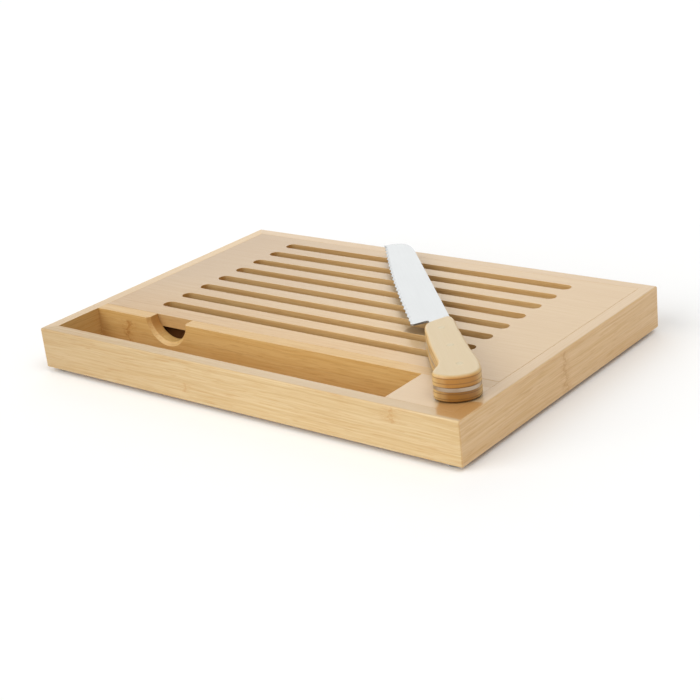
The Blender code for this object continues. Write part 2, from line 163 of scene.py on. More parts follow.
# Painted shadows on the top faces: the butt's on the board's corner, and the heel's on the grid's bar below it
BUTT_SHADOW = {"middle": (0.1130, -0.1110), "half": (0.0150, 0.0115), "lean": 0.6, "strength": 0.80}
HEEL_SHADOW = {"middle": (0.0810, -0.0150), "half": (0.0090, 0.0080), "lean": 0.0, "strength": 0.55}

# Finishes, and how many blots of their noise a metre holds; scratches are drawn wider than real ones, to show
OILED_ROUGHNESS, COAT_ROUGHNESS = (0.40, 0.54), 0.28
SATIN_ROUGHNESS, RIVET_ROUGHNESS = (0.33, 0.41), (0.28, 0.46)
SCRATCH_SIZE = (0.030, 0.00025, 0.00025)
CLOUDS_IN_STEEL, GRIT_IN_RIVET, GRAIN_IN_RUBBER = 35.0, 1400.0, 2600.0
# The tang's painted shade: how far it fades out, and how far before the handle's front it ends
TANG_TINT_FADE, TANG_TINT_BACK = 0.03, 0.03

# The rails, each a quarter turn after the last: name, node, lot of bamboo, rings, coat, painted shade and sheen
RAILS = (
    ("rail_front", "front_rail", "warm_", ((-0.0430, 0.0110, 0.0165, 0.5), (0.1375, 0.0240, 0.0340, 0.5)),
     {"drift": 0.28, "coat": 0.15, "worn": 0.8, "spans": ((0, -0.10, 0.06),)}),
    ("rail_right", "right_rail", "", ((-0.0035, 0.0050, 0.0330, 0.6),), {"worn": 0.7}),
    ("rail_back", "back_rail", "", ((0.0620, 0.0040, 0.0340, 0.5),), {"worn": 0.7}),
    ("rail_left", "left_rail", "honey_", ((0.0400, 0.0040, 0.0340, 0.5),), {"drift": 0.30, "worn": 0.6}),
)
# The rails that the butt's painted shadow falls on
SHADOWED_RAILS = ("front_rail", "right_rail")

# Each lamp: its setting, where its light comes from and how wide it spreads, in degrees
LAMPS = (("key", (0.55, -0.15, 1.0), 40), ("fill", (-0.45, -1.0, 0.62), 55), ("sheen", (-0.65, 0.75, 0.42), 50))
FLOOR_REACH = 3.0

# The camera stands where the photograph was taken from
CAMERA_PLACE = (0.67415, -0.78435, 0.41333)
CAMERA_RIGHT = (0.78195394, 0.61490675, -0.10216521)
CAMERA_UP = (-0.15559, 0.35126, 0.92326)
CAMERA_FORWARD = (-0.60360559, 0.70605171, -0.3703394)
CAMERA_LENS = 77.33
CAMERA_SENSOR = 36.0


def linear(colour):
    """Turn an sRGB hex colour into linear red, green and blue."""
    shares = [int(colour[i:i + 2], 16) / 255 for i in (1, 3, 5)]
    return tuple(s / 12.92 if s <= 0.04045 else ((s + 0.055) / 1.055) ** 2.4 for s in shares)


def length(description, default):
    """A size in metres that a user may change."""
    return FloatProperty(description=description, default=default, min=0.0, precision=5, subtype="DISTANCE",
                         unit="LENGTH")


def colour(description, default):
    """A colour that a user may change, its default written as sRGB hex."""
    return FloatVectorProperty(description=description, default=linear(default), size=3, min=0.0, max=1.0,
                               subtype="COLOR")


def power(description, default, most=10.0):
    """A lamp's or the room's light that a user may change."""
    return FloatProperty(description=description, default=default, min=0.0, max=most)


class BoardSettings(PropertyGroup):
    """Sizes and colours of the board's frame."""

    arris_radius: length("Rounding of the board's outer edges", 0.0012)
    ease: length("Rounding of the inner edges", 0.0002)
    notch_from_left: length("From the board's left face to the finger notch's middle", 0.0832)
    notch_radius: length("Radius of the finger notch", 0.0183)
    notch_chamfer: length("Slope round the finger notch, on the knife's side", 0.0025)
    notch_rise: length("The notch's centre lies this far over the top face", 0.0012)
    light: colour("Bamboo between its fibres", "#dab889")
    dark: colour("Bamboo fibre bundles", "#cba268")
    warm_light: colour("The front rail's lot, between its fibres", "#d2b88a")
    warm_dark: colour("The front rail's lot, fibre bundles", "#c19e67")
    honey_light: colour("The divider's lot, between its fibres", "#deb977")
    honey_dark: colour("The divider's lot, fibre bundles", "#d0a45c")
    # Painted sheen: the top faces are painted paler for the light they mirror
    faded: colour("Washed and sun-faded wood of the top faces", "#c4ab88")
    ring: colour("The ring where the cane's sections met, and end grain", "#b5813f")
    # The inside lot is darker: partly the bamboo's own colour, partly painted shade inside the board
    inside_light: colour("Unsanded bamboo inside, between its fibres", "#bd8347")
    inside_dark: colour("Unsanded bamboo inside, fibre bundles", "#a66a30")
    # Painted shade on the bottom panel's top under the grid
    crumbed: colour("Bottom panel under the grid, darkened by crumbs", "#74451f")
    rubber: colour("Moulded rubber of the feet", "#8d8882")


class GridSettings(PropertyGroup):
    """Sizes and colours of the lift-out grid."""

    slots: IntProperty(description="Number of crumb slots", default=8, min=1, max=12)
    slot_width: length("Width of a crumb slot", 0.0095)
    edge_round: length("Rounding of the grid's and the slots' edges", 0.0002)
    swell: length("How much closer the grid's edges come to the frame than when it is dry", 0.00045)
    pushed: length("How much wider the gap in front of the grid is than the one behind it", 0.0001)
    left_margin: length("From the grid's left end to the slots", 0.0432)
    right_margin: length("From the slots to the grid's right end", 0.0450)
    front_margin: length("From the grid's front to the first slot's middle", 0.0190)
    back_margin: length("From the last slot's middle to the grid's back", 0.0166)
    light: colour("The grid's bamboo between its fibres", "#dbb87f")
    dark: colour("The grid's bamboo fibre bundles", "#cda265")


class KnifeSettings(PropertyGroup):
    """Sizes and colours of the knife."""

    turn: FloatProperty(description="Direction in which the blade points, from +X", default=math.radians(135.0),
                        subtype="ANGLE", unit="ROTATION")
    butt_from_right: length("From the board's right face to the middle of the butt", 0.0095)
    butt_from_front: length("From the board's front face to the middle of the butt", 0.0240)
    knife_length: length("From butt to tip", 0.300)
    handle_length: length("From the butt to the handle's front", 0.1065)
    handle_width: length("Width that the handle's outline is a share of", 0.0312)
    handle_round: length("Rounding of the handle's long edges", 0.0020)
    serration_pitch: length("From one tooth to the next", 0.008)
    serration_depth: length("Depth of a scallop between two teeth", 0.0010)
    rivets: IntProperty(description="Number of handle rivets", default=3, min=1, max=5)
    rivet_radius: length("Radius of a rivet head", 0.0025)
    rivet_from_butt: length("From the butt to the first rivet", 0.0205)
    rivet_spacing: length("From one rivet to the next", 0.0322)
    light: colour("Handle bamboo between its fibres", "#cfae74")
    dark: colour("Handle bamboo fibre bundles", "#c39c5c")
    # Painted sheen: the handle's top faces are painted paler for the light they mirror
    faded: colour("Handle bamboo where hands have rubbed it", "#cab690")
    end: colour("Cut fibres at the butt", "#a86f1a")
    steel: colour("Satin stainless steel", "#b9bbbb")
    # Painted shade on the tang's edge, sunk between the scales
    tang: colour("Edge of the tang between the scales", "#b3a18c")
    rivet: colour("Ground nickel silver", "#b8aa8c")


class StageSettings(PropertyGroup):
    """The floor, the lamps and the white round them."""

    floor: colour("Matt pale floor", "#fbfbfa")
    around: power("Strength of the even light from all sides", 0.47, 2.0)
    key: power("Irradiance of the soft lamp above on the right", 0.92)
    fill: power("Irradiance of the soft lamp in front on the left", 1.84)
    sheen: power("Irradiance of the soft lamp low behind on the left", 0.38)


def put(tree, node, inputs):
    """Give a node's inputs their values or the sockets to link from."""
    for key, value in inputs.items():
        if isinstance(value, NodeSocket):
            tree.links.new(value, node.inputs[key])
        else:
            node.inputs[key].default_value = value


def add(tree, kind, inputs=None, **settings):
    """Add one node: settings are its own options, inputs are values or the sockets to link from."""
    made = tree.nodes.new(kind)
    for key, value in settings.items():
        setattr(made, key, value)
    put(tree, made, inputs or {})
    return made


def out(tree, kind, inputs=None, **settings):
    """The first output of a new node."""
    return add(tree, kind, inputs, **settings).outputs[0]


def maths(tree, operation, *values, **settings):
    """One sum of sockets and numbers."""
    return out(tree, "ShaderNodeMath", dict(enumerate(values)), operation=operation, **settings)


def vector_maths(tree, operation, *values):
    """One sum of places or directions."""
    return out(tree, "ShaderNodeVectorMath", dict(enumerate(values)), operation=operation)


def parts_of(tree, vector):
    """A vector's X, Y and Z."""
    return add(tree, "ShaderNodeSeparateXYZ", {0: vector}).outputs


def ranged(tree, value, low=0.0, high=1.0, first=0.0, last=1.0):
    """Turn the range from low to high into the one from first to last, and hold it beyond its ends."""
    return out(tree, "ShaderNodeMapRange", {0: value, 1: low, 2: high, 3: first, 4: last})


def noise(tree, vector, detail=2.0, roughness=0.5, scale=1.0, output=0):
    """Cloudy noise, with the scale's number of blots to each unit of the vector."""
    inputs = {0: vector, "Scale": scale, "Detail": detail, "Roughness": roughness}
    return add(tree, "ShaderNodeTexNoise", inputs).outputs[output]


def raised(tree, height, strength, distance):
    """The normal of a skin that a pattern raises by a distance."""
    return out(tree, "ShaderNodeBump", {"Strength": strength, "Distance": distance, "Height": height})


def new_material(name):
    """A material with its Principled shader: the material, its tree and the shader."""
    material = bpy.data.materials.new(name)
    material.use_nodes = True
    tree = material.node_tree
    return material, tree, tree.nodes["Principled BSDF"]


def object_place(tree):
    """A point's place in its object, which is also its place in the scene at rest."""
    return add(tree, "ShaderNodeTexCoord").outputs["Object"]


def stretched(tree, vector, size, shift=(0, 0, 0)):
    """Scale a pattern's place by what one length along, across and through stands for."""
    scale = tuple(1 / s if s else 0.0 for s in size)
    return vector_maths(tree, "MULTIPLY_ADD", vector, scale, shift)


def mixed(tree, factor, first, second):
    """Mix two colours, each a socket or a value."""
    paints = [paint if isinstance(paint, NodeSocket) else (*paint, 1.0) for paint in (first, second)]
    return add(tree, "ShaderNodeMix", {0: factor, 6: paints[0], 7: paints[1]}, data_type="RGBA").outputs[2]


def darkened(colour, share):
    """A share of a colour's light."""
    return tuple(share * c for c in colour)


def within(tree, value, middle, half, soft):
    """1 where a value lies within half of the middle, and down to 0 over the soft edge beyond."""
    off = maths(tree, "ABSOLUTE", maths(tree, "SUBTRACT", value, middle))
    return ranged(tree, off, half, half + soft, 1.0, 0.0)


def product(tree, *values):
    """Multiply sockets and numbers."""
    made = values[0]
    for value in values[1:]:
        made = maths(tree, "MULTIPLY", made, value)
    return made


def wood_grain(tree, turned, lamella, light, dark, end, contrast):
    """Lamellas of their own tone under fibre bundles, single fibres and dashes where a dark bundle breaks out.

    Gives the paint and the noises of the bundles and of the fibres.
    """
    lot = add(tree, "ShaderNodeTexWhiteNoise", {0: lamella}, noise_dimensions="3D")
    own = out(tree, "ShaderNodeVectorMath", {0: lot.outputs["Color"], "Scale": LOT_SHIFT}, operation="SCALE")
    bundles = noise(tree, stretched(tree, turned, BUNDLE_SIZE, own), 3.0, 0.55)
    fibres = noise(tree, stretched(tree, turned, FIBRE_SIZE, own), 2.0, 0.6)
    half = contrast / 2
    small = SMALL_TONE_SHARE * half
    tone = ranged(tree, lot.outputs["Value"], first=-small, last=small)
    grain = ranged(tree, bundles, *BUNDLE_RANGE, 0.5 - half, 0.5 + half)
    fine = ranged(tree, fibres, *FIBRE_RANGE, -small, small)
    shade = maths(tree, "ADD", maths(tree, "ADD", grain, tone), fine, use_clamp=True)
    dashes = noise(tree, stretched(tree, turned, DASH_SIZE, own), 1.0)
    dashes = ranged(tree, dashes, *DASH_RANGE, 0.0, DASH_STRENGTH * contrast)
    return mixed(tree, dashes, mixed(tree, shade, light, dark), end), bundles, fibres


def painted_light_and_shade(tree, paint, level, split, deep, faded, worn, spans, drift):
    """Fade the top faces from where the spans set in, and darken the wood towards its left end."""
    reach = 0.0 if spans else 1.0
    for axis, first, last in spans:
        reach = maths(tree, "ADD", ranged(tree, split[axis], first, last), reach, use_clamp=True)
    if spans:
        outside_spans = maths(tree, "SUBTRACT", 1.0, reach)
        paint = mixed(tree, product(tree, level, outside_spans, TOP_SHADE_STRENGTH), paint, deep)
    paint = mixed(tree, product(tree, level, reach, worn), paint, faded)
    return mixed(tree, ranged(tree, split[0], *LEFT_SHADE_RUN, drift, 0.0), paint, deep)


def stained(tree, paint, level, wave, place, stain):
    """Darken a patch of the top faces where oil has soaked in, with a rim that wanders."""
    spot = parts_of(tree, vector_maths(tree, "MULTIPLY_ADD", wave, (SHADOW_WANDER, SHADOW_WANDER, 0.0), place))
    across = maths(tree, "MULTIPLY_ADD", spot[1], stain["lean"], spot[0])
    inside = [within(tree, value, middle, half, SHADOW_SOFT)
              for value, middle, half in zip((across, spot[1]), stain["middle"], stain["half"])]
    return mixed(tree, product(tree, level, *inside, stain["strength"]), paint, stain["tint"])


def ringed(tree, paint, turned, split, rings, end):
    """Draw rings across the fibres: wavy, speckled bands of darker wood, each with a thin core."""
    wander = noise(tree, stretched(tree, turned, RING_WANDER_SIZE), 3.0, 0.7)
    wander = ranged(tree, wander, first=-RING_WANDER, last=RING_WANDER)
    along = maths(tree, "ADD", split[0], wander)
    speckle = ranged(tree, noise(tree, stretched(tree, turned, RING_SPECKLE_SIZE)), *RING_SPECKLE_RANGE)
    for at, low, high, strength in rings:
        core = within(tree, along, at, 0.0, RING_CORE_SOFT)
        band = product(tree, within(tree, along, at, RING_BAND_HALF, RING_BAND_SOFT), speckle, RING_BAND_STRENGTH)
        band = maths(tree, "ADD", core, band, use_clamp=True)
        kept = within(tree, split[2], (low + high) / 2, (high - low) / 2, RING_END_SOFT)
        paint = mixed(tree, product(tree, band, kept, strength), paint, end)
    return paint


def bamboo(name, light, dark, end, turn=0.0, strip=0.0200, layer=0.0063, shift=(0.0, 0.5, 0.0), rings=(),
           contrast=1.0, seam=0.10, drift=0.0, faded=(0.0, 0.0, 0.0), worn=0.0, spans=(), coat=0.35,
           bend=0.003, stain=None, contact_shade=None):
    """Pressed bamboo, sanded and oiled: lamellas that each differ a little, with fine straight fibres.

    The pattern's X runs along the fibres, turned about Z. A lamella is a strip wide and a layer thick, and the
    shift moves the first one. A ring is where along, from and to which height, and how strong it is. The seam
    is how strongly glue lines show, the drift how much darker the left end is, and worn how much of the faded
    colour the top faces take, from where the spans, each an axis, from and to, set in. The coat is the oil film
    on the wood, the bend how far fibres wave, and grime the height up to which the wood is dirty. A stain, where
    oil has soaked in, has the middle and half of its reach, its lean, strength and tint.
    """
    material, tree, shader = new_material(name)
    place = add(tree, "ShaderNodeTexCoord").outputs
    turned = out(tree, "ShaderNodeMapping", {0: place["Object"], 2: (0, 0, -turn)})
    wave = noise(tree, stretched(tree, turned, WAVE_SIZE, WAVE_SHIFT), 1.0, output="Color")
    wave = vector_maths(tree, "SUBTRACT", wave, (0.5, 0.5, 0.5))
    turned = vector_maths(tree, "MULTIPLY_ADD", wave, (0, bend, bend), turned)
    split = parts_of(tree, turned)
    lamellas = stretched(tree, turned, (0, strip, layer), shift)
    level = ranged(tree, parts_of(tree, place["Normal"])[2], *TOP_NORMAL_RANGE)
    deep = darkened(end, DEEP_SHARE)

    paint, bundles, fibres = wood_grain(tree, turned, vector_maths(tree, "FLOOR", lamellas), light, dark, end,
                                        contrast)
    # Painted sheen on the top faces, painted shade outside the spans and towards the left end
    paint = painted_light_and_shade(tree, paint, level, split, deep, faded, worn, spans, drift)
    # A painted shadow on a patch of the top faces
    if stain:
        paint = stained(tree, paint, level, wave, place["Object"], stain)
    # Painted shade on the wood up to a height over the board
    if contact_shade:
        contact_shade_mask = within(tree, parts_of(tree, place["Object"])[2], 0.0, contact_shade, CONTACT_SHADE_SOFT)
        paint = mixed(tree, contact_shade_mask, paint, darkened(end, CONTACT_SHADE_SHARE))

    # End grain is darker, because the cut fibres stand on end
    axis = (math.cos(turn), math.sin(turn), 0.0)
    facing = add(tree, "ShaderNodeVectorMath", {0: place["Normal"], 1: axis}, operation="DOT_PRODUCT")
    facing = maths(tree, "ABSOLUTE", facing.outputs["Value"])
    paint = mixed(tree, ranged(tree, facing, *END_FACING_RANGE, 0.0, END_STRENGTH), paint, end)

    # The glue line between two layers
    height = maths(tree, "PINGPONG", parts_of(tree, lamellas)[2], 0.5)
    paint = mixed(tree, ranged(tree, height, 0.0, GLUE_LINE / layer, seam, 0.0), paint, deep)
    if rings:
        paint = ringed(tree, paint, turned, split, rings, end)
    put(tree, shader, {"Base Color": paint, "Roughness": ranged(tree, bundles, 0.0, 1.0, *OILED_ROUGHNESS),
                       "Normal": raised(tree, fibres, 0.25, 0.0002), "Coat Weight": coat,
                       "Coat Roughness": COAT_ROUGHNESS})
    return material


def satin_steel(name, tint, tang, turn, tang_end):
    """Stainless steel, belt-ground along the blade: fine straight scratches that soften what it mirrors.

    The tang has its own tint, up to where it ends along the blade's direction: its edge was ground together
    with the wood beside it, which leaves it warmer.
    """
    material, tree, shader = new_material(name)
    turned = out(tree, "ShaderNodeMapping", {0: object_place(tree), 2: (0, 0, -turn)})
    lines = noise(tree, stretched(tree, turned, SCRATCH_SIZE), 3.0)
    cloud = noise(tree, turned, scale=CLOUDS_IN_STEEL)
    shade = ranged(tree, cloud, 0.35, 0.65, 0.0, 0.05)
    paint = mixed(tree, shade, tint, darkened(tint, 0.8))
    # The tang's tint up to its end: painted shade
    tang_shade = ranged(tree, parts_of(tree, turned)[0], tang_end - TANG_TINT_FADE, tang_end, 1.0, 0.0)
    put(tree, shader, {"Base Color": mixed(tree, tang_shade, paint, tang),
                       "Roughness": ranged(tree, lines, 0.3, 0.7, *SATIN_ROUGHNESS),
                       "Normal": raised(tree, lines, 0.05, 0.00003), "Metallic": 1.0})
    return material


def nickel_silver(name, tint):
    """Nickel silver rivet, ground flush with the wood: greyer than the blade, with a fine grit."""
    material, tree, shader = new_material(name)
    grit = noise(tree, object_place(tree), scale=GRIT_IN_RIVET)
    put(tree, shader, {"Base Color": mixed(tree, grit, tint, darkened(tint, 0.82)),
                       "Roughness": ranged(tree, grit, 0.0, 1.0, *RIVET_ROUGHNESS), "Metallic": 1.0})
    return material


def moulded_rubber(name, tint):
    """Moulded grey rubber: matt, with a fine spark-eroded skin."""
    material, tree, shader = new_material(name)
    skin = noise(tree, object_place(tree), scale=GRAIN_IN_RUBBER)
    put(tree, shader, {"Base Color": mixed(tree, skin, tint, darkened(tint, 0.8)), "Roughness": 0.78, "IOR": 1.52,
                       "Normal": raised(tree, skin, 0.3, 0.0001)})
    return material


def settings(name):
    """One of the groups of sizes and colours on the scene."""
    return getattr(bpy.context.scene, name)


def board_bamboo(name, lot="", **options):
    """The board's bamboo in the colours that are set for a lot of it."""
    board = settings("bread_board")
    light, dark = getattr(board, lot + "light"), getattr(board, lot + "dark")
    options.setdefault("faded", board.faded)
    return bamboo("pressed bamboo, " + name, light, dark, board.ring, **options)


def butt_stain():
    """Where the butt's oil has soaked into the board's corner."""
    return {**BUTT_SHADOW, "tint": settings("bread_board").ring}


def mesh_object(name, bm, material):
    """Turn a bmesh into an object with a material."""
    bmesh.ops.recalc_face_normals(bm, faces=bm.faces)
    mesh = bpy.data.meshes.new(name)
    bm.to_mesh(mesh)
    bm.free()
    mesh.materials.append(material)
    obj = bpy.data.objects.new(name, mesh)
    bpy.context.scene.collection.objects.link(obj)
    return obj


def plain(obj):
    """Turn an object's modifiers into its plain mesh."""
    graph = bpy.context.evaluated_depsgraph_get()
    mesh = bpy.data.meshes.new_from_object(obj.evaluated_get(graph), depsgraph=graph)
    old = obj.data
    obj.modifiers.clear()
    obj.data = mesh
    mesh.name = obj.name
    bpy.data.meshes.remove(old)
    return obj


def soften(obj, width=0.0, segments=2, sharp=40.0):
    """Round the sharp edges, shade smooth and let the broad faces keep their own normals."""
    if width:
        bevel = obj.modifiers.new("eased edges", "BEVEL")
        bevel.width = width
        bevel.segments = segments
        bevel.limit_method = "ANGLE"
        bevel.angle_limit = math.radians(sharp)
        bevel.miter_outer = "MITER_ARC"
        plain(obj)
    obj.data.shade_smooth()
    obj.data.set_sharp_from_angle(angle=math.radians(sharp))
    weighted = obj.modifiers.new("weighted normals", "WEIGHTED_NORMAL")
    weighted.keep_sharp = True
    return plain(obj)


def ease_edges(bm, width, wanted):
    """Round the edges between two points that a test wants, before the mesh is made."""
    edges = [e for e in bm.edges if wanted(*(v.co for v in e.verts))]
    bmesh.ops.bevel(bm, geom=edges, offset=width, segments=2, profile=0.5, affect="EDGES")
    return bm


def settle(obj, body, slot, *nodes):
    """Let a piece ride on its body, take its finish from a slot and stand for its CAD nodes."""
    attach(obj, body)
    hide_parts(*nodes)
    return obj


def arc(centre, radius, start, end, steps):
    """Points along an arc, its angles in degrees."""
    points = []
    for i in range(steps + 1):
        angle = math.radians(start + (end - start) * i / steps)
        points.append((centre[0] + radius * math.cos(angle), centre[1] + radius * math.sin(angle)))
    return points


def loft(loops, closed=False):
    """Join loops of as many points each into a skin, with flat ends unless it closes on itself."""
    bm = bmesh.new()
    rows = [[bm.verts.new(point) for point in loop] for loop in loops]
    count = len(rows[0])
    pairs = list(zip(rows, rows[1:]))
    if closed:
        pairs.append((rows[-1], rows[0]))
    for first, second in pairs:
        for i in range(count):
            j = (i + 1) % count
            bm.faces.new((first[i], first[j], second[j], second[i]))
    if not closed:
        bm.faces.new(rows[0])
        bm.faces.new(rows[-1])
    return bm


def box_solid(low, high):
    """A block between two corners, still sharp."""
    corners = [(low[0], low[1]), (high[0], low[1]), (high[0], high[1]), (low[0], high[1])]
    return loft([[(x, y, z) for x, y in corners] for z in (low[2], high[2])])


def rail_solid(run, reach, turn):
    """A mitred rail with rounded outer arrises that turn half way round the board's corner at each end."""
    board = settings("bread_board")
    radius, ease = board.arris_radius, board.ease
    rebate = WALL_INSIDE - PANEL_LOW.x
    shelf = PANEL_HIGH.z
    profile = arc((radius, UNDERSIDE + radius), radius, 270, 180, ARRIS_STEPS)
    profile += arc((radius, TOP - radius), radius, 180, 90, ARRIS_STEPS)
    profile += arc((WALL - ease, TOP - ease), ease, 90, 0, EASE_STEPS)
    profile += [(WALL, shelf), (WALL - rebate, shelf), (WALL - rebate, UNDERSIDE)]

    loops = []
    corner = [45.0 * (1 - i / CORNER_STEPS) for i in range(CORNER_STEPS + 1)]
    for side, angles in ((-1, corner), (1, corner[::-1])):
        for angle in angles:
            lean = math.radians(angle)
            loop = []
            for inward, height in profile:
                arm = max(radius - inward, 0.0)
                along = run / 2 - max(inward, radius) + arm * math.sin(lean)
                along -= (radius - arm) * (1 - angle / 45.0)
                depth = max(inward, radius) - arm * math.cos(lean)
                loop.append((side * along, depth - reach, height))
            loops.append(loop)
    bm = loft(loops)
    bm.transform(Matrix.Rotation(turn, 4, "Z"))
    return bm


class RailsOperator(Operator):
    """Make the four mitred rails of the board's frame"""

    bl_idname = "bread_board.rails"
    bl_label = "Rails"

    def execute(self, context):
        quarter = math.pi / 2
        for quarters, (name, node, lot, rings, painted_tones) in enumerate(RAILS):
            run, reach = RIGHT - LEFT, (BACK - FRONT) / 2
            if quarters % 2:
                run, reach = 2 * reach, run / 2
            # Each rail's painted sheen and shade, and on the front and right rails the butt's painted shadow
            material = board_bamboo(name.replace("_", " "), lot, turn=quarter * (quarters % 2),
                                    shift=(quarters * 3.0, 0.25, 0.08), rings=rings,
                                    stain=butt_stain() if node in SHADOWED_RAILS else None, **painted_tones)
            rail = mesh_object(name, rail_solid(run, reach, quarters * quarter), material)
            settle(soften(rail), "board", "bamboo", node)
        return {"FINISHED"}


class DividerOperator(Operator):
    """Make the wall behind the knife, with its finger notch, and the block at the compartment's end"""

    bl_idname = "bread_board.divider"
    bl_label = "Divider and end block"

    def execute(self, context):
        board = settings("bread_board")
        left, right = WALL_INSIDE, -WALL_INSIDE
        bottom = PANEL_HIGH.z
        middle = LEFT + board.notch_from_left
        centre = (middle, TOP + board.notch_rise)
        loops = []
        for depth, radius in ((0.0, board.notch_radius + board.notch_chamfer),
                              (board.notch_chamfer, board.notch_radius),
                              (WALL, board.notch_radius)):
            dip = math.degrees(math.asin(board.notch_rise / radius))
            outline = [(left, bottom), (right, bottom), (right, TOP)]
            outline += arc(centre, radius, -dip, dip - 180, NOTCH_STEPS)
            outline += [(left, TOP)]
            loops.append([(x, DIVIDER_LOW.y + depth, z) for x, z in outline])
        # Painted sheen on the divider's top from its span on, painted shade outside it and towards its left end
        material = board_bamboo("divider", "honey_", shift=(1.0, 0.35, 0.3), layer=0.0080, drift=0.12, coat=0.15,
                                worn=0.85, spans=((0, 0.10, 0.15),), rings=((-0.1490, 0.0095, 0.0290, 0.9),))
        end = right - board.ease

        def free(one, two):
            """An edge that is neither hidden below nor against a rail."""
            return min(one.z, two.z) > bottom + board.ease and abs(one.x + two.x) / 2 < end

        wall = mesh_object("divider", ease_edges(loft(loops), board.ease, free), material)
        settle(soften(wall), "board", "bamboo", "divider_rail")

        low = (BLOCK_LOW.x, FRONT + WALL, bottom)
        high = (right, DIVIDER_LOW.y, TOP)
        # A lighter painted sheen on the end block's top, and the butt's painted shadow
        material = board_bamboo("end block", shift=(5.0, 0.1, 0.3), worn=0.9, stain=butt_stain(),
                                faded=darkened(board.faded, 1.1))
        rim = low[0] + board.ease
        block = ease_edges(box_solid(low, high), board.ease,
                           lambda one, two: max(one.x, two.x) < rim and min(one.z, two.z) > TOP - board.ease)
        settle(soften(mesh_object("end_block", block, material)), "board", "bamboo", "corner_block")
        return {"FINISHED"}


def new_tree(name, sockets):
    """A Geometry Nodes tree with named inputs: the tree, its inputs and its output node."""
    tree = bpy.data.node_groups.new(name, "GeometryNodeTree")
    tree.interface.new_socket("Geometry", in_out="OUTPUT", socket_type="NodeSocketGeometry")
    for label, kind in sockets.items():
        tree.interface.new_socket(label, in_out="INPUT", socket_type="NodeSocket" + kind)
    return tree, add(tree, "NodeGroupInput").outputs, add(tree, "NodeGroupOutput")


def joined(tree, *parts):
    """Several geometries as one."""
    join = add(tree, "GeometryNodeJoinGeometry")
    for part in parts:
        tree.links.new(part, join.inputs[0])
    return join.outputs[0]


def end_tree(tree, output, geometry, material):
    """End a tree with real geometry in one material."""
    real = out(tree, "GeometryNodeRealizeInstances", {0: geometry})
    done = out(tree, "GeometryNodeSetMaterial", {"Geometry": real, "Material": material})
    tree.links.new(done, output.inputs[0])


def grow(obj, tree, values):
    """Run a tree on an object with its inputs set, and keep the result as the plain mesh."""
    modifier = obj.modifiers.new(tree.name, "NODES")
    modifier.node_group = tree
    for socket in tree.interface.items_tree:
        if socket.in_out == "INPUT" and socket.name in values:
            modifier[socket.identifier] = values[socket.name]
    return plain(obj)


def slotted_plate_tree():
    """A flat plate with a row of round-ended slots, from its underside up."""
    tree, given, output = new_tree("Slotted plate", {
        "Length": "Float", "Depth": "Float", "Thickness": "Float", "Slots": "Int", "Slot length": "Float",
        "Slot width": "Float", "Slot pitch": "Float", "First slot": "Vector", "Underside": "Vector",
        "Material": "Material"})
    edge = out(tree, "GeometryNodeCurvePrimitiveQuadrilateral", {0: given["Length"], 1: given["Depth"]})
    slot = out(tree, "GeometryNodeCurvePrimitiveQuadrilateral",
               {0: given["Slot length"], 1: given["Slot width"]})
    half = out(tree, "ShaderNodeMath", {0: given["Slot width"], 1: ROUND_END_SHARE}, operation="MULTIPLY")
    slot = out(tree, "GeometryNodeFilletCurve", {"Curve": slot, "Radius": half, "Count": SLOT_END_STEPS}, mode="POLY")
    step = out(tree, "ShaderNodeCombineXYZ", {1: given["Slot pitch"]})
    row = out(tree, "GeometryNodeMeshLine", {"Count": given["Slots"], "Start Location": given["First slot"],
                                             "Offset": step}, mode="OFFSET")
    slots = out(tree, "GeometryNodeInstanceOnPoints", {"Points": row, "Instance": slot})
    slots = out(tree, "GeometryNodeRealizeInstances", {0: slots})
    flat = out(tree, "GeometryNodeFillCurve", {0: joined(tree, edge, slots)}, mode="NGONS")
    lifted = out(tree, "GeometryNodeExtrudeMesh", {"Mesh": flat, "Offset Scale": given["Thickness"],
                                                   "Individual": False})
    under = out(tree, "GeometryNodeFlipFaces", {0: flat})
    solid = out(tree, "GeometryNodeMergeByDistance", {"Geometry": joined(tree, lifted, under),
                                                      "Distance": MERGE_DISTANCE})
    solid = out(tree, "GeometryNodeTransform", {"Geometry": solid, "Translation": given["Underside"]})
    end_tree(tree, output, solid, given["Material"])
    return tree


class GridOperator(Operator):
    """Make the lift-out grid with its crumb slots"""

    bl_idname = "bread_board.grid"
    bl_label = "Crumb grid"

    def execute(self, context):
        board, grid = settings("bread_board"), settings("bread_grid")
        run, depth = GRID_HIGH.x - GRID_LOW.x, GRID_HIGH.y - GRID_LOW.y
        slot_run = run - grid.left_margin - grid.right_margin
        first = -depth / 2 + grid.front_margin
        last = depth / 2 - grid.back_margin
        # Painted sheen on the grid's top within the spans; painted shade outside them and towards the left end, and a
        # painted shadow under the knife's heel
        material = bamboo("pressed bamboo, grid", grid.light, grid.dark, board.ring,
                          shift=(2.0, 0.62, 0.15), drift=0.42, faded=board.faded, worn=0.7,
                          spans=((1, -0.062, 0.012), (0, 0.07, 0.13)),
                          stain={**HEEL_SHADOW, "tint": darkened(board.ring, DEEP_SHARE)})
        base = mesh_object("crumb_grid", bmesh.new(), material)
        plate = grow(base, slotted_plate_tree(), {
            "Length": run + 2 * grid.swell, "Depth": depth + 2 * grid.swell - grid.pushed,
            "Thickness": GRID_HIGH.z - GRID_LOW.z, "Slots": grid.slots,
            "Slot length": slot_run, "Slot width": grid.slot_width,
            "Slot pitch": (last - first) / max(grid.slots - 1, 1),
            "First slot": ((grid.left_margin - grid.right_margin) / 2, first, 0.0),
            "Underside": ((GRID_LOW.x + GRID_HIGH.x) / 2, (GRID_LOW.y + GRID_HIGH.y + grid.pushed) / 2, GRID_LOW.z),
            "Material": material})
        settle(soften(plate, grid.edge_round, 3), "grid", "bamboo", "slotted_grid")
        return {"FINISHED"}


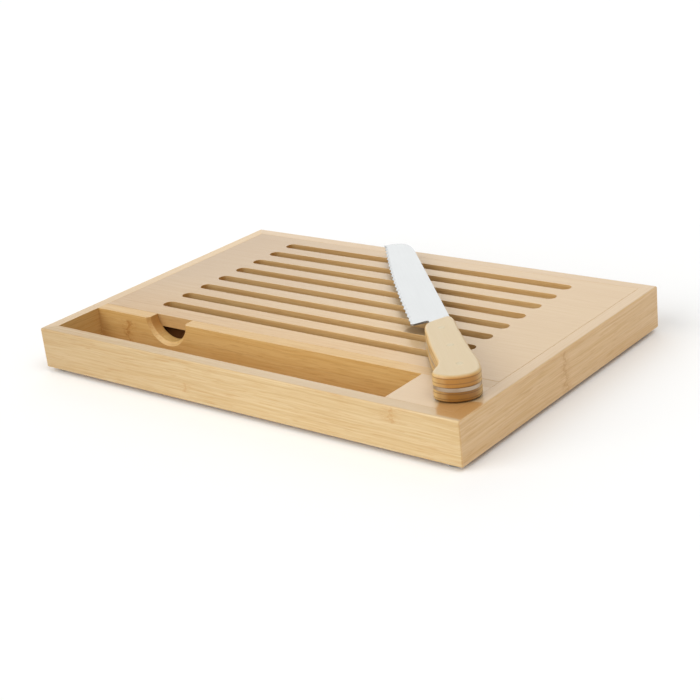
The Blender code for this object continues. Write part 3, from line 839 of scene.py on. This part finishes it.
def lathed(profile, steps):
    """Turn a profile of radius and height round Z into a closed solid; it starts and ends on the axis."""
    bm = bmesh.new()
    rings = []
    for radius, height in profile:
        if radius:
            turns = [2 * math.pi * i / steps for i in range(steps)]
            rings.append([bm.verts.new((radius * math.cos(a), radius * math.sin(a), height)) for a in turns])
        else:
            rings.append([bm.verts.new((0, 0, height))] * steps)
    for first, second in zip(rings, rings[1:]):
        for i in range(steps):
            j = (i + 1) % steps
            corners = list(dict.fromkeys((first[i], first[j], second[j], second[i])))
            bm.faces.new(corners)
    return bm


def copies_tree(name, sockets, kind, inputs, **options):
    """Copies of one shape on the points that one kind of node makes, from the place given on."""
    tree, given, output = new_tree(name, {"One": "Geometry", **sockets, "Place": "Vector", "Material": "Material"})
    inputs = {key: given[value] if isinstance(value, str) else value for key, value in inputs.items()}
    points = out(tree, kind, inputs, **options)
    points = out(tree, "GeometryNodeTransform", {"Geometry": points, "Translation": given["Place"]})
    copies = out(tree, "GeometryNodeInstanceOnPoints", {"Points": points, "Instance": given["One"]})
    end_tree(tree, output, copies, given["Material"])
    return tree


def spread_tree():
    """Copies of one shape at the corners of a rectangle."""
    return copies_tree("Four corners", {"Run": "Float", "Depth": "Float"}, "GeometryNodeMeshGrid",
                       {"Size X": "Run", "Size Y": "Depth", "Vertices X": 2, "Vertices Y": 2})


def row_tree():
    """Copies of one shape in a row."""
    return copies_tree("Row", {"Count": "Int", "Step": "Vector"}, "GeometryNodeMeshLine",
                       {"Count": "Count", "Offset": "Step"}, mode="OFFSET")


class FeetOperator(Operator):
    """Make the four rubber feet, and give the hidden panel and ledges their bamboo"""

    bl_idname = "bread_board.feet"
    bl_label = "Feet, panel and ledges"

    def execute(self, context):
        board = settings("bread_board")
        radius = (FOOT_HIGH.x - FOOT_LOW.x) / 2
        height = UNDERSIDE - FOOT_LOW.z
        rim = FOOT_RIM
        profile = [(0.0, FOOT_DISH)]
        profile += [(radius * out_share, FOOT_DISH * up_share) for out_share, up_share in FOOT_DISH_SHARES]
        profile += arc((radius * FOOT_CONTACT_SHARE - rim, rim), rim, 270, 360, FOOT_RIM_STEPS)
        profile += [(radius - rim / 2, height * FOOT_SIDE_SHARE)]
        profile += arc((radius - rim, height - rim), rim, 0, 90, FOOT_TOP_STEPS)
        profile += [(0.0, height)]
        material = moulded_rubber("moulded grey rubber", board.rubber)
        foot = mesh_object("rubber_feet", lathed(profile, FOOT_STEPS), material)
        soften(foot)
        places = [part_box(node) for node in FEET]
        middles = [((low.x + high.x) / 2, (low.y + high.y) / 2) for low, high in places]
        run = max(x for x, y in middles) - min(x for x, y in middles)
        depth = max(y for x, y in middles) - min(y for x, y in middles)
        grow(foot, spread_tree(), {"Run": run, "Depth": depth, "Place": (0.0, 0.0, FOOT_LOW.z),
                                   "Material": material})
        settle(foot, "board", "rubber", *FEET)

        # The inside lot is partly painted shade; the panel's top under the grid takes painted shade
        panel = bamboo("pressed bamboo, bottom panel", board.inside_light, board.inside_dark,
                       board.ring, shift=(7.0, 0.4, 0.3), faded=board.crumbed, worn=0.85,
                       spans=((1, -0.078, -0.064),))
        across = board_bamboo("ledges", "inside_", turn=math.pi / 2, shift=(4.0, 0.4, 0.3))
        for node, material in (("bottom_panel", panel), ("left_ledge", across), ("right_ledge", across)):
            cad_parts[node].material_slots[0].material = material
        return {"FINISHED"}


def knife_place():
    """Where the knife lies: the middle of its butt, turned to where the blade points."""
    knife = settings("bread_knife")
    at = Vector((RIGHT - knife.butt_from_right, FRONT + knife.butt_from_front, BLADE_PLANE))
    return Matrix.Translation(at) @ Matrix.Rotation(knife.turn, 4, "Z")


def handle_form(name, thickness, rounding, material, inset=0.0):
    """The handle's outline, drawn smoothly and given its thickness, in the knife's own place."""
    knife = settings("bread_knife")
    curve = bpy.data.curves.new(name, "CURVE")
    curve.dimensions = "2D"
    curve.fill_mode = "BOTH"
    curve.resolution_u = 10
    curve.extrude = thickness / 2 - rounding
    curve.bevel_depth = rounding
    curve.bevel_resolution = 6
    curve.offset = -rounding - inset
    spline = curve.splines.new("BEZIER")
    spline.use_cyclic_u = True
    spline.bezier_points.add(len(HANDLE_OUTLINE_SHARES) - 1)
    for point, (along, across) in zip(spline.bezier_points, HANDLE_OUTLINE_SHARES):
        point.co = (along * knife.handle_length, across * knife.handle_width, 0)
        point.handle_left_type = "AUTO"
        point.handle_right_type = "AUTO"
    drawn = bpy.data.objects.new(name, curve)
    bpy.context.scene.collection.objects.link(drawn)
    graph = bpy.context.evaluated_depsgraph_get()
    mesh = bpy.data.meshes.new_from_object(drawn.evaluated_get(graph))
    bm = bmesh.new()
    bm.from_mesh(mesh)
    bmesh.ops.remove_doubles(bm, verts=bm.verts, dist=MERGE_DISTANCE)
    bpy.data.objects.remove(drawn)
    bpy.data.meshes.remove(mesh)
    return mesh_object(name, bm, material)


def edge_at(share):
    """How far the cutting edge lies from the handle's middle line, at a share of its run from heel to tip."""
    return EDGE_AT_HEEL + (EDGE_AT_TIP - EDGE_AT_HEEL) * share ** EDGE_SWEEP


def blade_blank(material):
    """The blade before its teeth are ground: flat below, with a ground facet above the cutting edge.

    The facet's points carry how far along the edge they lie and how much of a tooth they take.
    """
    knife = settings("bread_knife")
    neck = knife.handle_length - NECK_OVERLAP
    begin = HEEL_FROM_BUTT - HEEL_BACK
    start = [(neck, NECK_EDGE)]
    start += [(HEEL_FROM_BUTT + x, NECK_EDGE + y) for x, y in NECK_ROUND]
    start += arc((begin, EDGE_AT_HEEL - HEEL_RADIUS), HEEL_RADIUS, 195, 90, HEEL_STEPS)
    run = knife.knife_length - begin
    teeth = round(run / knife.serration_pitch)
    steps = teeth * TOOTH_STEPS
    lower, upper, runs, bites = list(start), list(start), [0.0] * len(start), [0.0] * len(start)
    for i in range(1, steps):
        share = i / steps
        fade = min(1.0, min(share, 1 - share) * run / GRIND_RUN_OUT)
        x = begin + share * run
        lower.append((x, edge_at(share)))
        upper.append((x, edge_at(share) - GRIND_WIDTH * fade))
        runs.append(share * teeth)
        bites.append(fade)
    tall = EDGE_AT_TIP - SPINE
    end = []
    for i in range(TIP_STEPS + 1):
        angle = math.pi / 2 * i / TIP_STEPS
        along = math.cos(angle) ** (2 / TIP_ROUND)
        across = math.sin(angle) ** (2 / TIP_ROUND)
        end.append((knife.knife_length - TIP_LENGTH + TIP_LENGTH * along, EDGE_AT_TIP - tall * across))
    end.append((neck, SPINE))
    lower += end
    upper += end
    runs += [0.0] * len(end)
    bites += [0.0] * len(end)

    def rise(y):
        """Half the blade's thickness there: full at the spine, thin at the cutting edge."""
        return BLADE_THICKNESS / 2 * (1 - (1 - EDGE_THIN_SHARE) * (y - SPINE) / (EDGE_AT_HEEL - SPINE))

    loops = [[(x, y, -rise(y)) for x, y in lower],
             [(x, y, -rise(y) + EDGE_LEFT) for x, y in lower],
             [(x, y, rise(y)) for x, y in upper]]
    blank = mesh_object("blade_and_tang", loft(loops), material)
    run_at = blank.data.attributes.new("tooth_run", "FLOAT", "POINT")
    bite_at = blank.data.attributes.new("tooth_bite", "FLOAT", "POINT")
    run_at.data.foreach_set("value", runs * 3)
    bite_at.data.foreach_set("value", bites * 2 + [GRIND_BITE_SHARE * bite for bite in bites])
    return blank


def teeth_tree():
    """Scallops ground into an edge: its marked points move in by a round bite between two teeth."""
    tree, given, output = new_tree("Scalloped teeth", {
        "Blank": "Geometry", "Depth": "Float", "Material": "Material"})
    run = out(tree, "GeometryNodeInputNamedAttribute", {"Name": "tooth_run"}, data_type="FLOAT")
    bite = out(tree, "GeometryNodeInputNamedAttribute", {"Name": "tooth_bite"}, data_type="FLOAT")
    scallop = maths(tree, "SINE", maths(tree, "MULTIPLY", maths(tree, "FRACT", run), math.pi))
    move = out(tree, "ShaderNodeCombineXYZ", {1: product(tree, scallop, bite, given["Depth"], -1.0)})
    moved = out(tree, "GeometryNodeSetPosition", {"Geometry": given["Blank"], "Offset": move})
    end_tree(tree, output, moved, given["Material"])
    return tree


class BladeOperator(Operator):
    """Make the serrated blade with its full tang"""

    bl_idname = "bread_board.blade"
    bl_label = "Blade and tang"

    def execute(self, context):
        knife = settings("bread_knife")
        butt = knife_place().translation
        handle_end = butt.x * math.cos(knife.turn) + butt.y * math.sin(knife.turn) + knife.handle_length
        steel = satin_steel("satin stainless steel", knife.steel, knife.tang, knife.turn,
                            handle_end - TANG_TINT_BACK)
        blade = blade_blank(steel)
        grow(blade, teeth_tree(), {"Depth": knife.serration_depth, "Material": steel})
        tang = handle_form("tang", BLADE_THICKNESS, 0.0, steel, TANG_INSET)
        union = blade.modifiers.new("tang", "BOOLEAN")
        union.operation = "UNION"
        union.solver = "EXACT"
        union.object = tang
        plain(blade)
        bpy.data.objects.remove(tang)
        blade.data.transform(knife_place())
        settle(soften(blade, sharp=BLADE_SHARP_DEGREES), "knife", "blade_steel", "knife_blade")
        return {"FINISHED"}


class HandleOperator(Operator):
    """Make the two handle scales"""

    bl_idname = "bread_board.handle"
    bl_label = "Handle scales"

    def execute(self, context):
        knife = settings("bread_knife")
        seat = BLADE_THICKNESS / 2 + SCALE_GAP
        half = HANDLE_THICKNESS / 2 - SCALE_SUNK
        first_line = (BLADE_PLANE + LINE_BELOW_TANG) / HANDLE_LAYER
        # Painted shade near the board: the lower scale's end grain is darker, and so is its wood up to just over the
        # top
        rows = (("upper_scale", 1, "knife_upper_scale", 1.0, None),
                ("lower_scale", -1, "knife_lower_scale", LOWER_END_SHARE, TOP + CONTACT_SHADE_OVER_TOP))
        for name, side, node, end_share, contact_shade in rows:
            material = bamboo("handle bamboo, " + name.replace("_", " "), knife.light, knife.dark,
                              darkened(knife.end, end_share), turn=knife.turn, strip=HANDLE_STRIP,
                              layer=HANDLE_LAYER, shift=(side + 8.0, 0.5, math.ceil(first_line) - first_line),
                              contrast=0.6, seam=0.8, bend=0.0006, coat=0.2, contact_shade=contact_shade,
                              faded=knife.faded, worn=0.85)
            scale = handle_form(name, 2 * half, knife.handle_round, material)
            bm = bmesh.new()
            bm.from_mesh(scale.data)
            for vertex in bm.verts:
                near = max(0.0, 1 - vertex.co.x / BUTT_CROWN_REACH)
                vertex.co.x += BUTT_CROWN * near * (vertex.co.z / half) ** 2
            cut = bmesh.ops.bisect_plane(bm, geom=bm.verts[:] + bm.edges[:] + bm.faces[:],
                                         plane_co=(0, 0, side * seat), plane_no=(0, 0, -side), clear_outer=True)
            rim = [e for e in cut["geom_cut"] if isinstance(e, bmesh.types.BMEdge)]
            bmesh.ops.contextual_create(bm, geom=rim)
            bmesh.ops.recalc_face_normals(bm, faces=bm.faces)
            bm.to_mesh(scale.data)
            bm.free()
            scale.data.transform(knife_place())
            settle(soften(scale), "knife", "handle_bamboo", node)
        return {"FINISHED"}


class RivetsOperator(Operator):
    """Make the handle's rivets"""

    bl_idname = "bread_board.rivets"
    bl_label = "Rivets"

    def execute(self, context):
        knife = settings("bread_knife")
        metal = nickel_silver("ground nickel silver", knife.rivet)
        radius = knife.rivet_radius
        half = HANDLE_THICKNESS / 2
        ease = RIVET_EASE
        profile = [(0.0, -half), (radius - ease, -half), (radius, -half + ease),
                   (radius, half - ease), (radius - ease, half), (0.0, half)]
        rivet = mesh_object("handle_rivets", lathed(profile, RIVET_STEPS), metal)
        soften(rivet)
        grow(rivet, row_tree(), {"Count": knife.rivets, "Place": (knife.rivet_from_butt, 0.0, 0.0),
                                 "Step": (knife.rivet_spacing, 0.0, 0.0), "Material": metal})
        rivet.data.transform(knife_place())
        nodes = ["knife_rivet_%d" % (i + 1) for i in range(knife.rivets)]
        settle(rivet, "knife", "rivet_steel", *nodes)
        return {"FINISHED"}


def far_lamp(name, side, spread, strength):
    """A soft lamp far off on one side, as wide as its spread in degrees, so that it lights the floor evenly."""
    lamp = bpy.data.lights.new(name, "SUN")
    lamp.energy = strength
    lamp.angle = math.radians(spread)
    obj = bpy.data.objects.new(name, lamp)
    obj.location = side
    obj.rotation_euler = Vector(side).to_track_quat("Z", "Y").to_euler()
    bpy.context.scene.collection.objects.link(obj)


class StageOperator(Operator):
    """Make the floor, the lamps, the white round them and the camera"""

    bl_idname = "bread_board.stage"
    bl_label = "Stage"

    def execute(self, context):
        stage = settings("bread_stage")
        scene = context.scene
        material, tree, shader = new_material("matt paper")
        put(tree, shader, {"Base Color": (*stage.floor, 1.0), "Roughness": 0.9, "Specular IOR Level": 0.0})
        floor = mesh_object("floor", bmesh.new(), material)
        corners = [(FLOOR_REACH * x, FLOOR_REACH * y, 0) for x, y in ((-1, -1), (1, -1), (1, 1), (-1, 1))]
        floor.data.from_pydata(corners, [], [(0, 1, 2, 3)])

        world = bpy.data.worlds.new("white room")
        scene.world = world
        world.use_nodes = True
        tree = world.node_tree
        tree.nodes.clear()
        rays = add(tree, "ShaderNodeLightPath").outputs
        seen = maths(tree, "MAXIMUM", rays["Is Camera Ray"], rays["Is Glossy Ray"])
        seen = maths(tree, "MAXIMUM", seen, rays["Is Transmission Ray"])
        strength = ranged(tree, seen, first=stage.around)
        light = out(tree, "ShaderNodeBackground", {0: (1.0, 1.0, 1.0, 1.0), 1: strength})
        add(tree, "ShaderNodeOutputWorld", {0: light})

        for name, side, spread in LAMPS:
            far_lamp(name, side, spread, getattr(stage, name))

        camera = bpy.data.cameras.new("camera")
        camera.lens = CAMERA_LENS
        camera.sensor_width = CAMERA_SENSOR
        eye = bpy.data.objects.new("camera", camera)
        turned = Matrix((CAMERA_RIGHT, CAMERA_UP, [-c for c in CAMERA_FORWARD])).transposed().to_4x4()
        eye.matrix_world = Matrix.Translation(CAMERA_PLACE) @ turned
        scene.collection.objects.link(eye)
        scene.camera = eye
        scene.view_settings.view_transform = "Standard"
        return {"FINISHED"}


class BreadBoardPanel(Panel):
    """Lists the pieces and their sizes in the sidebar"""

    bl_idname = "BREADBOARD_PT_pieces"
    bl_label = "Bread board"
    bl_space_type = "VIEW_3D"
    bl_region_type = "UI"
    bl_category = "Bread board"

    def draw(self, context):
        for operator in OPERATORS:
            self.layout.operator(operator.bl_idname)
        for name, group in GROUPS.items():
            column = self.layout.column(heading=group.__doc__)
            for key in group.__annotations__:
                column.prop(getattr(context.scene, name), key, text=key.replace("_", " ").capitalize())


OPERATORS = (RailsOperator, DividerOperator, GridOperator, FeetOperator, BladeOperator, HandleOperator,
             RivetsOperator, StageOperator)
GROUPS = {"bread_board": BoardSettings, "bread_grid": GridSettings, "bread_knife": KnifeSettings,
          "bread_stage": StageSettings}


def register():
    for group in GROUPS.values():
        bpy.utils.register_class(group)
    for name, group in GROUPS.items():
        setattr(bpy.types.Scene, name, PointerProperty(type=group))
    for operator in OPERATORS:
        bpy.utils.register_class(operator)
    bpy.utils.register_class(BreadBoardPanel)


def unregister():
    bpy.utils.unregister_class(BreadBoardPanel)
    for operator in reversed(OPERATORS):
        bpy.utils.unregister_class(operator)
    for name, group in reversed(list(GROUPS.items())):
        delattr(bpy.types.Scene, name)
        bpy.utils.unregister_class(group)


def main():
    """Make every piece and the stage, and keep both boxes for the size rule."""
    register()
    bpy.ops.bread_board.rails()
    bpy.ops.bread_board.divider()
    bpy.ops.bread_board.grid()
    bpy.ops.bread_board.feet()
    bpy.ops.bread_board.blade()
    bpy.ops.bread_board.handle()
    bpy.ops.bread_board.rivets()
    bpy.ops.bread_board.stage()


if __name__ == "__main__":
    main()
